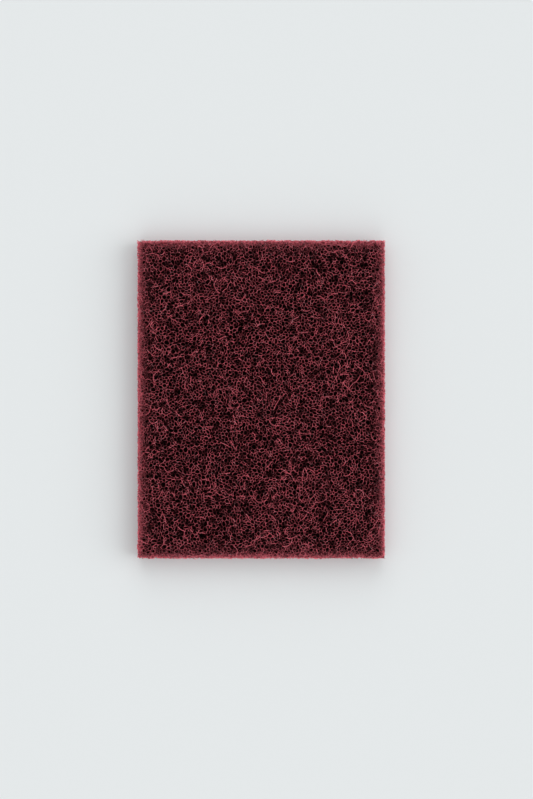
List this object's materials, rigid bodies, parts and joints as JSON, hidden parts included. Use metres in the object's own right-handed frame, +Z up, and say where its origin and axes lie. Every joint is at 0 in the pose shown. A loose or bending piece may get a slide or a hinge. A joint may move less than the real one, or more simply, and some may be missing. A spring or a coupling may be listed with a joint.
{
  "type": "scouring pad",
  "caption": "Rectangular coarse scouring pad: a flat block of open, curly, resin-bonded fibre web that scrubs with either face.",
  "frame": {"origin": "middle of the underside, on the surface that the pad lies on", "axes": "+X across the pad's width, +Y along its length, towards the top of the picture, +Z up through its thickness"},
  "size_m": [0.102, 0.131, 0.01],
  "materials": {
    "fibre_web": "maroon resin-bonded synthetic fibre with fine grit, satin on the resin"
  },
  "bodies": {
    "root": {"scouring_pad": "fibre_web"}
  },
  "joints": []
}
